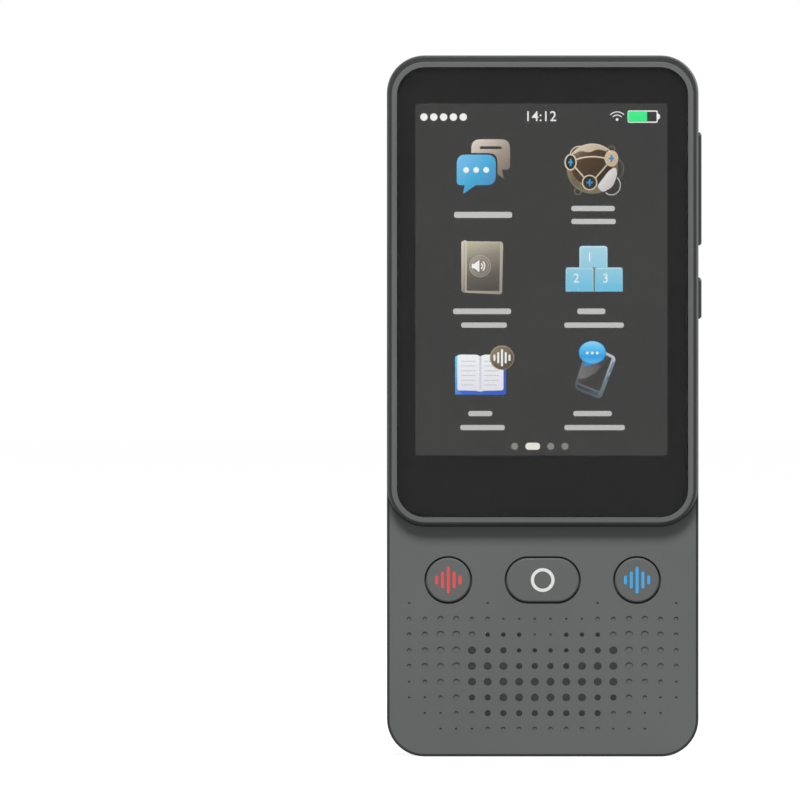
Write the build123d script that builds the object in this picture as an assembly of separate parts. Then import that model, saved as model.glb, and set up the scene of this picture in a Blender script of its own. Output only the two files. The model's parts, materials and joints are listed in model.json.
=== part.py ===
from build123d import *
import math
import os

# A handheld translator: a bar-shaped device with a raised screen module over a lower panel that has
# three round or pill-shaped keys and a dotted speaker grille. It stands on its flat bottom end.
#
# Frame, in millimetres: x to the right as the user sees the screen, y from the screen to the rear cover,
# z up. The origin is the middle of the flat bottom end, and y = 0 is mid-thickness of the lower section.
# A name that ends in _y is a depth, and a smaller one lies nearer to the user.

# ---- Body ----
body_width = 60.0
body_height = 135.0
body_corner = 7.25          # corner radius seen from the front
lower_depth = 12.2          # thickness below the screen module
wall = 1.6                  # side walls of the housing
front_edge = 0.2            # broken edge of the housing's front rim
rear_round = 1.6            # rounding of the rear cover's edge
cover_depth = 1.8           # how much of the thickness belongs to the rear cover
cover_wall = 1.4            # plate of the rear cover
lip_thickness = 0.8         # locating lip of the rear cover
lip_depth = 1.2
lip_start_z = 12.0          # the lip runs along the sides and the top, above the socket
fit = 0.05                  # clearance round a piece that seats in another
press_gap = 0.1             # clearance of a piece that is lowered in loosely
small_radius = 1.45         # a round hole or bar below this radius is drawn with flat sides
small_sides = 12            # how many flat sides it has

# ---- Screen module ----
module_bottom = 44.3        # height of the module's lower wall above the bottom end
module_corner = 7.6         # its lower corners
module_step = 2.8           # how far it stands out of the lower panel
draft_inset = 0.45          # how far its walls lean in
rim_drop = 0.12             # the housing's rim lies this far behind the bezel
rim_round = 0.3
bezel_side_inset = 1.0      # from the module's base outline to the bezel
bezel_low_inset = 0.8
bezel_high_inset = 1.42
bezel_width = 1.04
bezel_depth = 1.7
bezel_edge = 0.12
lip_width = 1.2             # ledge inside the bezel that carries the glass
ledge_width = 1.9           # ledge inside the housing that carries the bezel
glass_corner = 5.4
glass_sink = 0.04           # glass behind the bezel's face
glass_thickness = 1.0
glass_edge = 0.2
tape_thickness = 0.15
sensor_thickness = 0.2
lcd_side_border = 3.69      # from the glass edge to the lit area
lcd_low_border = 11.8
lcd_high_border = 6.86
lcd_x = -0.23               # the lit area sits a little left of the middle
lcd_frame_side = 1.3        # dead edge of the display round its lit area
lcd_frame_low = 4.3
lcd_frame_high = 1.5
lcd_thickness = 1.3
backlight_thickness = 1.5
backlight_edge = 0.3        # its frame beyond the display, all round
web_thickness = 1.0         # web of the housing between display and battery

# ---- Lower panel ----
panel_rim = 0.45            # housing rim seen round the panel
panel_thickness = 1.6
panel_ledge = 1.2           # ledge under the panel's top edge
cavity_corner = 1.0
key_drop = 10.3             # from the module's lower wall down to the key row
key_pitch = 18.17
round_key = 8.5
home_key_width = 13.95
home_key_height = 8.4
key_gap = 0.37              # between a key and its hole
key_proud = 0.22
key_edge = 0.25
key_flange = 0.95           # how far a key's flange reaches beyond its hole
key_flange_thickness = 0.6
key_stem_radius = 1.5
key_stem = 0.55
key_travel = 0.4
dome_radius = 2.2
dome_height = 0.45
key_board_thickness = 0.8
key_board_height = 15.0
key_board_side_gap = 0.5
panel_boss_radius = 1.4
panel_boss_x = 10.5         # inner pair of bosses behind the panel
panel_boss_edge = 2.2       # outer pair, in from the housing's wall
boss_hole_radius = 0.55
panel_boss_floor = 0.2      # left under the screw hole of a panel boss
key_screw_floor = 0.6       # left under the tip of its screw
screw_head_radius = 1.25
screw_head_height = 0.6

# ---- Grille: one letter for each place of half the grille, from the side to the middle, top row first.
# Capitals are holes right through, and small letters are shallow dimples.
grille_rows = [
    "t....t...",
    "ssmmssttt",
    "smllmSSSt",
    "smllLMMSS",
    "smmlLLLMM",
    "tsmmLLLLL",
    "ttsmMMLLL",
    ".ttssMMMM",
    "..tttssss",
]
grille_pitch = 3.025
grille_key_drop = 4.47      # from the key row's axis down to the top row
dot_radius = {"t": 0.25, "s": 0.45, "m": 0.62, "l": 0.78}
dimple_depth = 0.25

# ---- Loudspeaker ----
mesh_thickness = 0.2
gasket_thickness = 0.6
gasket_width = 1.0
speaker_width = 31.0
speaker_height = 19.0
speaker_corner = 6.0
speaker_depth = 3.5
speaker_row_drop = 13.5     # from the grille's top row to the speaker's middle
magnet_width = 14.0
magnet_height = 9.0
magnet_depth = 1.2
magnet_corner = 2.0
cone_depth = 0.5            # recess of the cone in the frame
cone_margin = 1.0           # from the gasket's inner edge to that recess
chamber_wall = 0.8

# ---- Charging board and socket ----
charge_board_thickness = 0.8
charge_board_gap = 0.9      # between the board and the rear cover
socket_gap = 0.2            # between the socket and the speaker's chamber
charge_board_low = 2.8
charge_board_height = 21.0
charge_board_side_gap = 2.0
usb_width = 8.94
usb_height = 3.2
usb_length = 7.2
usb_wall = 0.3
usb_recess = 0.3            # shell behind the bottom end's face
usb_gasket_wall = 0.7       # soft ring between the socket and the housing
tongue_width = 6.7
tongue_thickness = 0.7
tongue_recess = 0.9
tongue_edge = 0.3
corner_boss_radius = 2.3
corner_boss_in = 2.0        # from the inner wall to the boss's axis
corner_boss_depth = 5.0
corner_boss_floor = 1.0     # left in front of its screw hole
corner_screw_floor = 1.5    # left in front of the screw's tip
lower_microphone_x = 14.0
microphone_width = 2.8
microphone_length = 1.9
microphone_thickness = 1.0
port_radius = 0.5
upper_microphone_in = 8.0   # from the upper left screw to the upper microphone

# ---- Side keys, on the right ----
side_key_y = -1.0
side_key_width = 2.4
side_key_proud = 0.7
side_key_gap = 0.15
side_key_edge = 0.3
side_key_corner = 0.9
side_slot_corner = 1.1
side_flange = 0.6           # how far a side key's flange reaches beyond its slot
side_flange_thickness = 0.7
side_flange_gap = 0.05
volume_key_length = 21.9
volume_key_drop = 25.45     # from the top end down to the key's middle
volume_travel_degrees = 1.5
switch_offset = 7.0         # from the volume key's middle to each of its switches
power_key_length = 8.0
power_key_drop = 46.6
power_key_travel = 0.35
switch_height = 0.6
switch_size = 2.4
nub_height = 0.15
nub_radius = 0.6
nose_radius = 0.4
side_board_thickness = 0.5
bracket_thickness = 0.6
bracket_margin = 1.5
bracket_rim = 0.3           # how far the bracket reaches beyond its board

# ---- Card tray, on the left ----
tray_drop = 23.0            # from the top end down to the tray's middle
tray_y = 0.8
tray_plate_length = 12.6
tray_plate_width = 2.3
tray_plate_thickness = 1.4
tray_plate_corner = 0.9
tray_hole_corner = 1.1
tray_bed_length = 15.0
tray_bed_width = 10.6
tray_bed_thickness = 1.2
tray_gap = 0.12
tray_eject_radius = 0.45
card_length = 12.3
card_width = 8.8
card_thickness = 0.67
card_key = 1.6              # cut corner that keys the card
card_end = 0.9              # from the tray's inner end to the card
reader_wall = 0.3
reader_gap = 0.4            # to the housing's wall

# ---- Boards, battery and camera ----
board_y = -1.2              # front face of the main board
board_thickness = 1.0
board_height = 37.5
board_wall_gap = 0.6
board_bracket_gap = 0.3
board_boss_radius = 1.9
board_boss_in = 5.2         # from the inner walls to the axes of the upper bosses
board_boss_low_x = -12.0    # left one of the lower bosses
board_boss_edge = 0.4       # board left beyond a boss
board_boss_floor = 0.3      # left in front of its screw hole
board_screw_floor = 0.8     # left in front of the screw's tip
shield_height = 1.9
shield_wall = 0.2
shield_low = 7.0            # from the board's lower edge up to both shields
front_shield_x = (-12.0, 18.0)
front_shield_height = 20.0
rear_shield_x = (-8.0, 8.0)
rear_shield_height = 14.0
chips_rise = 17.0           # from the board's lower edge to the chips' middle
chips = [(-5.0, 12.0, 0.9), (8.0, 9.0, 0.8), (14.5, 4.0, 0.6)]  # place, size and thickness of each
battery_thickness = 6.0
battery_round = 1.0
battery_gap = 1.2           # to the main board and to the lower wall
flex_thickness = 0.2
flex_width = 12.0
flex_bend = 0.5
flex_slot_drop = 2.6        # from the display's lower edge to the slot in the web
flex_slot_room = 1.0        # of that slot, all round the circuit
connector_height = 1.0
connector_depth = 2.4       # along the circuit that plugs in
front_connector_rise = 1.0  # from the board's lower edge up to each connector
rear_connector_rise = 2.0
lower_connector_rise = 14.0
lead_x = 9.0                # middle of the battery's lead
lead_width = 5.0
board_flex_x = -21.0
board_flex_width = 6.0
camera_in_x = 11.9          # from the inner right wall to the camera's axis
camera_in_z = 11.4          # from the inner top wall to the camera's axis
camera_base = 8.5
camera_base_height = 2.0
camera_barrel_radius = 3.2
camera_barrel_hollow = 0.5  # depth of the hollow that holds the lens
camera_gasket_thickness = 0.4
camera_gasket_width = 0.7
camera_window_radius = 3.75
camera_window_thickness = 0.8
camera_window_recess = 0.1
camera_window_edge = 0.1
camera_hole_radius = 3.0
flash_spacing = 8.6
flash_lens_radius = 1.5
flash_collar = 0.5          # width and thickness of the lens's inner collar
flash_pipe_radius = 1.0
flash_led_size = 1.7
flash_led_height = 0.7
motor_radius = 4.0
motor_thickness = 2.7
motor_x = 20.0
antenna_thickness = 0.2
antenna_in_x = 6.0          # from the inner left wall to both antennas
antenna_gap = 1.0           # from the lower antenna to the board and to the motor
wifi_antenna_width = 20.0
wifi_antenna_height = 5.0
main_antenna_height = 8.0

# ---- Depths and places that follow ----
panel_y = -lower_depth / 2
rear_y = lower_depth / 2
split_y = rear_y - cover_depth
cover_inner_y = rear_y - cover_wall
bezel_y = panel_y - module_step
rim_y = bezel_y + rim_drop
bezel_rear_y = bezel_y + bezel_depth
glass_y = bezel_y + glass_sink
glass_rear_y = glass_y + glass_thickness
tape_rear_y = glass_rear_y + tape_thickness
lcd_y = glass_rear_y + sensor_thickness
lcd_rear_y = lcd_y + lcd_thickness
web_y = lcd_rear_y + backlight_thickness + fit
web_rear_y = web_y + web_thickness
panel_seat_y = panel_y + panel_thickness
inner_x = body_width / 2 - wall
inner_top = body_height - wall
bezel_half = body_width / 2 - bezel_side_inset
bezel_low = module_bottom + bezel_low_inset
bezel_high = body_height - bezel_high_inset
glass_inset = bezel_width + fit
bezel_corner = glass_corner + glass_inset
glass_half = bezel_half - glass_inset
glass_low = bezel_low + glass_inset
glass_high = bezel_high - glass_inset
lcd_half = glass_half - lcd_side_border
lcd_low = glass_low + lcd_low_border
lcd_high = glass_high - lcd_high_border
display_half = lcd_half + lcd_frame_side
display_low = lcd_low - lcd_frame_low
display_high = lcd_high + lcd_frame_high
key_z = module_bottom - key_drop
flange_y = panel_seat_y + fit
stem_y = flange_y + key_flange_thickness
dome_y = stem_y + key_stem + key_travel + fit
key_board_y = dome_y + dome_height
panel_boss_z = key_z
panel_boss_outer_x = inner_x - panel_boss_edge
grille_top = key_z - grille_key_drop
speaker_z = grille_top - speaker_row_drop
mesh_rear_y = panel_seat_y + mesh_thickness
speaker_y = mesh_rear_y + gasket_thickness
speaker_rear_y = speaker_y + speaker_depth
charge_board_y = cover_inner_y - charge_board_gap - charge_board_thickness
usb_y = charge_board_y - usb_height / 2
usb_top = usb_recess + usb_length
chamber_low = usb_top + socket_gap
chamber_high = speaker_z + speaker_height / 2
chamber_half = speaker_width / 2
corner_boss_x = inner_x - wall - corner_boss_in
corner_boss_z = wall + corner_boss_in
volume_z = body_height - volume_key_drop
power_z = body_height - power_key_drop
rocker_swing = math.sin(math.radians(volume_travel_degrees))
volume_flange_half = volume_key_length / 2 + side_flange
volume_flange_x = inner_x - volume_flange_half * rocker_swing - fit
volume_flange_rear_x = volume_flange_x - side_flange_thickness
switch_x = volume_flange_rear_x - nub_height - switch_offset * rocker_swing - fit
side_board_x = switch_x - switch_height
bracket_x = side_board_x - side_board_thickness
pivot_x = side_board_x + fit + nose_radius
power_flange_x = inner_x - side_flange_gap
bracket_inner_x = bracket_x - bracket_thickness
bracket_low = power_z - power_key_length / 2 - bracket_margin
bracket_high = volume_z + volume_key_length / 2 + bracket_margin
board_right = bracket_inner_x - board_bracket_gap
board_low = inner_top - board_wall_gap - board_height
board_rear_y = board_y + board_thickness
tray_z = body_height - tray_drop
camera_x = inner_x - camera_in_x
camera_z = inner_top - camera_in_z
flash_x = camera_x - flash_spacing
barrel_top_y = cover_inner_y - camera_gasket_thickness
upper_microphone_x = -inner_x + board_boss_in + upper_microphone_in
battery_y = web_rear_y + 2 * flex_thickness
battery_rear_y = battery_y + battery_thickness
slot_z = display_low - flex_slot_drop
key_centres = {"red_key": -key_pitch, "home_key": 0.0, "blue_key": key_pitch}


# ---- Helpers: a sketch's x and y are the part's x and z ----
def plate(sketch, front_y, back_y):
    """A plate of this outline between two depths."""
    return extrude(Plane.XZ.offset(-back_y) * sketch, back_y - front_y)


def side_plate(sketch, x_low, x_high):
    """A plate whose outline lies in y and z, between two values of x."""
    return extrude(Plane.YZ.offset(x_low) * sketch, x_high - x_low)


def block(x_low, x_high, y_low, y_high, z_low, z_high):
    """A plain block between these coordinates."""
    centre = ((x_low + x_high) / 2, (y_low + y_high) / 2, (z_low + z_high) / 2)
    return Pos(*centre) * Box(x_high - x_low, y_high - y_low, z_high - z_low)


def disc(radius):
    return RegularPolygon(radius, small_sides) if radius < small_radius else Circle(radius)


def pin(x, z, radius, front_y, back_y):
    """A round pin or hole that runs from front to back."""
    return plate(Pos(x, z) * disc(radius), front_y, back_y)


def upright(half_width, low, high, corner_low, corner_high):
    """An upright rectangle with its own radius at the lower and at the upper corners."""
    shape = Pos(0, (low + high) / 2) * Rectangle(2 * half_width, high - low)
    shape = fillet(shape.vertices().group_by(Axis.Y)[0], corner_low)
    return fillet(shape.vertices().group_by(Axis.Y)[-1], corner_high)


def span(x_low, x_high, z_low, z_high):
    """A rectangle between these values of x and z."""
    return Pos((x_low + x_high) / 2, (z_low + z_high) / 2) * Rectangle(x_high - x_low, z_high - z_low)


def front_edges(solid):
    return solid.faces().sort_by(Axis.Y)[0].edges()


def rear_edges(solid):
    return solid.faces().sort_by(Axis.Y)[-1].edges()


def body_outline(inset):
    corner = body_corner - inset
    return upright(body_width / 2 - inset, inset, body_height - inset, corner, corner)


def module_outline(inset):
    low = module_bottom + inset
    high = body_height - inset
    return upright(body_width / 2 - inset, low, high, module_corner - inset, body_corner - inset)


def bezel_outline(grow):
    corner = bezel_corner + grow
    return upright(bezel_half + grow, bezel_low - grow, bezel_high + grow, corner, corner)


def glass_outline(inset):
    corner = glass_corner - inset
    return upright(glass_half - inset, glass_low + inset, glass_high - inset, corner, corner)


def lit_area(grow):
    return span(lcd_x - lcd_half - grow, lcd_x + lcd_half + grow, lcd_low - grow, lcd_high + grow)


def key_outline(name, grow):
    """Outline of a front key, grown all round for its hole or its flange."""
    if name == "home_key":
        outline = SlotOverall(home_key_width + 2 * grow, home_key_height + 2 * grow)
    else:
        outline = Circle(round_key / 2 + grow)
    return Pos(key_centres[name], key_z) * outline


def ribbon(points, width, x):
    """A flexible circuit of this width along points in y and z, with its middle at x."""
    path = FilletPolyline(*points, radius=flex_bend)
    return side_plate(trace(path, flex_thickness), x - width / 2, x + width / 2)


def screw(x, z, head_y, tip_y):
    """A screw driven in from the rear: its head rests at head_y and its shank ends at tip_y."""
    head = pin(x, z, screw_head_radius, head_y, head_y + screw_head_height)
    return head + pin(x, z, boss_hole_radius - fit, tip_y, head_y)


# ---- Housing and covers ----
def side_slot(length, z):
    width = side_key_width + 2 * side_key_gap
    outline = RectangleRounded(width, length + 2 * side_key_gap, side_slot_corner)
    return side_plate(Pos(side_key_y, z) * outline, inner_x - 1, body_width / 2 + 1)


def board_boss_places():
    upper_z = inner_top - board_boss_in
    lower_z = board_low + board_boss_radius + board_boss_edge
    right_x = board_right - board_boss_radius - board_boss_edge
    return [
        (-inner_x + board_boss_in, upper_z),
        (right_x, upper_z),
        (board_boss_low_x, lower_z),
        (right_x, lower_z),
    ]


def main_housing():
    body = plate(body_outline(0), panel_y, split_y)
    body = chamfer(front_edges(body), front_edge)
    rise_height = panel_y - rim_y
    draft = math.degrees(math.atan(draft_inset / rise_height))
    rise = extrude(Plane.XZ.offset(-panel_y) * module_outline(0), rise_height, taper=draft)
    rise = fillet(front_edges(rise), rim_round)
    shell = body + plate(module_outline(0), panel_y, split_y) + rise

    shell -= plate(body_outline(panel_rim) - module_outline(0), panel_y - 1, panel_seat_y)
    opening_high = module_bottom - panel_ledge
    lower_opening = upright(inner_x, wall, opening_high, body_corner - wall, cavity_corner)
    shell -= plate(lower_opening, panel_seat_y, web_rear_y)
    shell -= plate(body_outline(wall), web_rear_y, split_y + 1)
    shell -= plate(bezel_outline(fit), bezel_y - 1, bezel_rear_y)
    shell -= plate(bezel_outline(-ledge_width), bezel_rear_y, web_y)
    slot_half = flex_width / 2 + flex_slot_room
    shell -= block(-slot_half, slot_half, web_y - 1, web_rear_y + 1,
                   slot_z - flex_slot_room, slot_z + flex_slot_room)

    for x, z in board_boss_places():
        shell += pin(x, z, board_boss_radius, web_rear_y, board_y)
        shell -= pin(x, z, boss_hole_radius, web_rear_y + board_boss_floor, board_y)
    for side in (-1, 1):
        boss = pin(side * corner_boss_x, corner_boss_z, corner_boss_radius,
                   charge_board_y - corner_boss_depth, charge_board_y)
        shell += boss
        shell -= pin(side * corner_boss_x, corner_boss_z, boss_hole_radius,
                     charge_board_y - corner_boss_depth + corner_boss_floor, charge_board_y)

    shell -= side_slot(volume_key_length, volume_z)
    shell -= side_slot(power_key_length, power_z)
    tray_hole = RectangleRounded(tray_plate_width + 2 * tray_gap, tray_plate_length + 2 * tray_gap,
                                 tray_hole_corner)
    shell -= side_plate(Pos(tray_y, tray_z) * tray_hole, -body_width / 2 - 1, -inner_x + 1)
    shell -= extrude(Plane.XY.offset(-1) * socket_outline(usb_gasket_wall + 2 * fit), wall + 2)
    port_y = charge_board_y - microphone_thickness / 2
    shell -= Pos(lower_microphone_x, port_y, wall / 2) * Cylinder(port_radius, wall + 1)
    top_port = Pos(upper_microphone_x, board_rear_y + microphone_thickness / 2, body_height - wall / 2)
    return shell - top_port * Cylinder(port_radius, wall + 1)


def rear_cover():
    cover = plate(body_outline(0), split_y, rear_y)
    cover = fillet(rear_edges(cover), rear_round)
    cover -= plate(body_outline(wall), split_y - 1, cover_inner_y)
    lip = body_outline(wall + fit) - body_outline(wall + fit + lip_thickness)
    lip_band = plate(lip, split_y - lip_depth, cover_inner_y)
    lip_reach = block(-body_width, body_width, split_y - 2 * lip_depth, rear_y, lip_start_z, body_height)
    cover += lip_band & lip_reach
    window_y = rear_y - camera_window_recess - camera_window_thickness
    cover -= pin(camera_x, camera_z, camera_hole_radius, split_y, rear_y + 1)
    cover -= pin(camera_x, camera_z, camera_window_radius + fit, window_y, rear_y + 1)
    cover -= pin(flash_x, camera_z, flash_lens_radius + fit, cover_inner_y - 1, rear_y + 1)
    return cover


def screen_bezel():
    ring = plate(bezel_outline(0), bezel_y, bezel_rear_y)
    ring = chamfer(front_edges(ring), bezel_edge)
    ring -= plate(glass_outline(-fit), bezel_y - 1, tape_rear_y)
    return ring - plate(glass_outline(lip_width), bezel_y - 1, bezel_rear_y + 1)


def front_panel():
    outline = body_outline(panel_rim + fit) - module_outline(-fit)
    for name in key_centres:
        outline -= key_outline(name, key_gap)
    holes, dimples = grille_dots()
    panel = plate(outline - holes, panel_y, panel_seat_y)
    panel -= plate(dimples, panel_y - 1, panel_y + dimple_depth)
    for x in panel_boss_places():
        panel += pin(x, panel_boss_z, panel_boss_radius, panel_seat_y, key_board_y)
        panel -= pin(x, panel_boss_z, boss_hole_radius, panel_seat_y + panel_boss_floor, key_board_y)
    return panel


def panel_boss_places():
    return (-panel_boss_outer_x, -panel_boss_x, panel_boss_x, panel_boss_outer_x)


def grille_dots():
    """The grille's through holes and its dimples, each as one sketch."""
    holes = []
    dimples = []
    for row, letters in enumerate(grille_rows):
        z = grille_top - row * grille_pitch
        for column, letter in enumerate(letters):
            if letter == ".":
                continue
            x = (len(letters) - column - 0.5) * grille_pitch
            dots = [Pos(side * x, z) * disc(dot_radius[letter.lower()]) for side in (-1, 1)]
            if letter.isupper():
                holes += dots
            else:
                dimples += dots
    return Sketch() + holes, Sketch() + dimples


# ---- Display ----
def cover_glass():
    glass = plate(glass_outline(0), glass_y, glass_rear_y)
    return chamfer(front_edges(glass), glass_edge)


def glass_tape():
    return plate(glass_outline(fit) - glass_outline(lip_width), glass_rear_y, tape_rear_y)


def touch_sensor():
    return plate(glass_outline(lip_width + press_gap) - lit_area(0), glass_rear_y, lcd_y)


def display_outline(grow):
    half_width = display_half + grow
    return span(lcd_x - half_width, lcd_x + half_width, display_low - grow, display_high + grow)


def lcd_panel():
    return plate(display_outline(0), lcd_y, lcd_rear_y)


def backlight():
    return plate(display_outline(backlight_edge), lcd_rear_y, web_y - fit)


def display_flex():
    start_y = lcd_rear_y - flex_thickness
    run_y = web_rear_y + flex_thickness
    points = [(start_y, display_low), (start_y, slot_z), (run_y, slot_z), (run_y, board_low + 3)]
    return ribbon(points, flex_width, 0)


# ---- Front keys ----
def front_key(name):
    key = plate(key_outline(name, 0), panel_y - key_proud, flange_y)
    key = chamfer(front_edges(key), key_edge)
    key += plate(key_outline(name, key_gap + key_flange), flange_y, stem_y)
    return key + pin(key_centres[name], key_z, key_stem_radius, stem_y, stem_y + key_stem)


def key_board():
    half_width = inner_x - key_board_side_gap
    half_height = key_board_height / 2
    board = plate(span(-half_width, half_width, key_z - half_height, key_z + half_height),
                  key_board_y, key_board_y + key_board_thickness)
    for x in panel_boss_places():
        board -= pin(x, panel_boss_z, boss_hole_radius + fit, key_board_y - 1, key_board_y + 2)
    return board


def key_domes():
    """Snap domes, as low cones without a tip on the key board."""
    slope = math.degrees(math.atan(dome_radius / 3 / dome_height))
    base = Plane.XZ.offset(-key_board_y)
    return Compound([extrude(base * Pos(x, key_z) * Circle(dome_radius), dome_height, taper=slope)
                     for x in key_centres.values()])


def key_board_screws():
    head_y = key_board_y + key_board_thickness
    tip_y = panel_seat_y + key_screw_floor
    screws = [screw(x, panel_boss_z, head_y, tip_y) for x in panel_boss_places()]
    return Compound(screws)


# ---- Loudspeaker ----
def speaker_outline(inset):
    width = speaker_width - 2 * inset
    height = speaker_height - 2 * inset
    return Pos(0, speaker_z) * RectangleRounded(width, height, speaker_corner - inset)


def speaker_mesh():
    return plate(speaker_outline(0), panel_seat_y, mesh_rear_y)


def speaker_gasket():
    return plate(speaker_outline(0) - speaker_outline(gasket_width), mesh_rear_y, speaker_y)


def speaker():
    frame = plate(speaker_outline(0), speaker_y, speaker_rear_y - magnet_depth)
    frame -= plate(speaker_outline(gasket_width + cone_margin), speaker_y - 1, speaker_y + cone_depth)
    magnet = Pos(0, speaker_z) * RectangleRounded(magnet_width, magnet_height, magnet_corner)
    return frame + plate(magnet, speaker_rear_y - magnet_depth, speaker_rear_y)


def speaker_chamber():
    """Closed box behind the speaker, open to the front where the speaker's frame seats on it."""
    front_y = speaker_rear_y - magnet_depth
    outline = chamber_outline(0)
    room = chamber_outline(chamber_wall)
    return plate(outline, front_y, charge_board_y) - plate(room, front_y - 1, charge_board_y - chamber_wall)


def chamber_outline(inset):
    """The speaker's outline, cut off above the charging socket."""
    half = chamber_half - inset
    return speaker_outline(inset) & span(-half, half, chamber_low + inset, chamber_high - inset)


# ---- Charging board ----
def charge_board():
    half_width = inner_x - charge_board_side_gap
    top = charge_board_low + charge_board_height
    board = plate(span(-half_width, half_width, charge_board_low, top),
                  charge_board_y, charge_board_y + charge_board_thickness)
    for side in (-1, 1):
        board -= pin(side * corner_boss_x, corner_boss_z, boss_hole_radius + fit,
                     charge_board_y - 1, charge_board_y + 2)
    return board


def socket_outline(grow):
    """Outline of the charging socket in x and y, grown all round."""
    return Pos(0, usb_y) * SlotOverall(usb_width + 2 * grow, usb_height + 2 * grow)


def usb_shell():
    shell = extrude(Plane.XY.offset(usb_recess) * socket_outline(0), usb_length)
    room = socket_outline(-usb_wall)
    return shell - extrude(Plane.XY.offset(usb_recess - 1) * room, usb_length + 1 - usb_wall)


def usb_gasket():
    ring = socket_outline(usb_gasket_wall + fit) - socket_outline(fit)
    return extrude(ring, wall)


def usb_tongue():
    low = usb_recess + tongue_recess
    half_thickness = tongue_thickness / 2
    tongue = block(-tongue_width / 2, tongue_width / 2, usb_y - half_thickness, usb_y + half_thickness,
                   low, usb_top - usb_wall)
    return chamfer(tongue.edges().filter_by(Axis.Y).group_by(Axis.Z)[0], tongue_edge)


def lower_microphone():
    x = lower_microphone_x
    return block(x - microphone_width / 2, x + microphone_width / 2,
                 charge_board_y - microphone_thickness, charge_board_y,
                 charge_board_low, charge_board_low + microphone_length)


# ---- Side keys ----
def side_key(length, z, flange_x):
    """Key with a rounded cap outside the wall and a flange behind it."""
    cap = side_plate(Pos(side_key_y, z) * RectangleRounded(side_key_width, length, side_key_corner),
                     flange_x, body_width / 2 + side_key_proud)
    cap = chamfer(cap.faces().sort_by(Axis.X)[-1].edges(), side_key_edge)
    flange = Rectangle(side_key_width + 2 * side_flange, length + 2 * side_flange)
    return cap + side_plate(Pos(side_key_y, z) * flange, flange_x - side_flange_thickness, flange_x)


def volume_key():
    """Rocker: it turns about the rounded nose behind its middle and presses a switch at each end."""
    key = side_key(volume_key_length, volume_z, volume_flange_x)
    half_width = side_key_width / 2
    key += block(pivot_x, volume_flange_rear_x, side_key_y - half_width, side_key_y + half_width,
                 volume_z - nose_radius, volume_z + nose_radius)
    key += Pos(pivot_x, side_key_y, volume_z) * Rot(90, 0, 0) * Cylinder(nose_radius, side_key_width)
    for offset in (-switch_offset, switch_offset):
        nub = Pos(side_key_y, volume_z + offset) * Circle(nub_radius)
        key += side_plate(nub, volume_flange_rear_x - nub_height, volume_flange_rear_x)
    return key


def power_key():
    key = side_key(power_key_length, power_z, power_flange_x)
    tip_x = switch_x + power_key_travel + fit
    nub = Pos(side_key_y, power_z) * Circle(nub_radius)
    return key + side_plate(nub, tip_x, power_flange_x - side_flange_thickness)


def side_board_outline(grow):
    """Outline in y and z: the board ends at the web in front and just behind the side keys."""
    rear = side_key_y + side_key_width / 2 + side_flange + grow
    middle = Pos((web_rear_y + rear) / 2, (bracket_low + bracket_high) / 2)
    return middle * Rectangle(rear - web_rear_y, bracket_high - bracket_low + 2 * grow)


def side_key_board():
    return side_plate(side_board_outline(0), bracket_x, side_board_x)


def side_key_bracket():
    return side_plate(side_board_outline(bracket_rim), bracket_inner_x, bracket_x)


def side_switches():
    places = (power_z, volume_z - switch_offset, volume_z + switch_offset)
    outline = Rectangle(switch_size, switch_size)
    return Compound([side_plate(Pos(side_key_y, z) * outline, side_board_x, switch_x) for z in places])


# ---- Card tray ----
def sim_tray():
    half_length = body_width / 2
    plate_x = -half_length + tray_plate_thickness
    face = RectangleRounded(tray_plate_width, tray_plate_length, tray_plate_corner)
    tray = side_plate(Pos(tray_y, tray_z) * face, -half_length, plate_x)
    bed = span(plate_x, plate_x + tray_bed_length, tray_z - tray_bed_width / 2, tray_z + tray_bed_width / 2)
    tray += plate(bed, tray_y - tray_bed_thickness / 2, tray_y + tray_bed_thickness / 2)
    tray -= plate(card_outline(press_gap), card_y(), tray_y + tray_bed_thickness)
    eject_z = tray_z - tray_plate_length / 2 + tray_plate_width / 2
    return tray - Pos(-half_length, tray_y, eject_z) * Rot(0, 90, 0) * Cylinder(tray_eject_radius, 2)


def card_y():
    return tray_y + tray_bed_thickness / 2 - card_thickness


def card_outline(grow):
    inner_end = -body_width / 2 + tray_plate_thickness + tray_bed_length - card_end
    low_x = inner_end - card_length
    half_width = card_width / 2
    outline = span(low_x - grow, inner_end + grow, tray_z - half_width - grow, tray_z + half_width + grow)
    return chamfer(outline.vertices().group_by(Axis.X)[-1][0], card_key)


def sim_card():
    return plate(card_outline(0), card_y(), card_y() + card_thickness)


def sim_reader():
    """Metal case on the main board with a channel that the tray slides in."""
    low_x = -inner_x + reader_gap
    high_x = -body_width / 2 + tray_plate_thickness + tray_bed_length + tray_gap + reader_wall
    half_width = tray_bed_width / 2 + tray_gap
    half_thickness = tray_bed_thickness / 2 + press_gap
    case = block(low_x, high_x, board_rear_y, tray_y + half_thickness + reader_wall,
                 tray_z - half_width - reader_wall, tray_z + half_width + reader_wall)
    return case - block(low_x - 1, high_x - reader_wall, tray_y - half_thickness, tray_y + half_thickness,
                        tray_z - half_width, tray_z + half_width)


# ---- Main board and what is on it ----
def main_board():
    room = body_outline(wall + board_wall_gap)
    extent = span(-body_width, board_right, board_low, body_height)
    board = plate(room & extent, board_y, board_rear_y)
    for x, z in board_boss_places():
        board -= pin(x, z, boss_hole_radius + fit, board_y - 1, board_rear_y + 1)
    return board


def main_board_screws():
    tip_y = web_rear_y + board_screw_floor
    return Compound([screw(x, z, board_rear_y, tip_y) for x, z in board_boss_places()])


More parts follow.
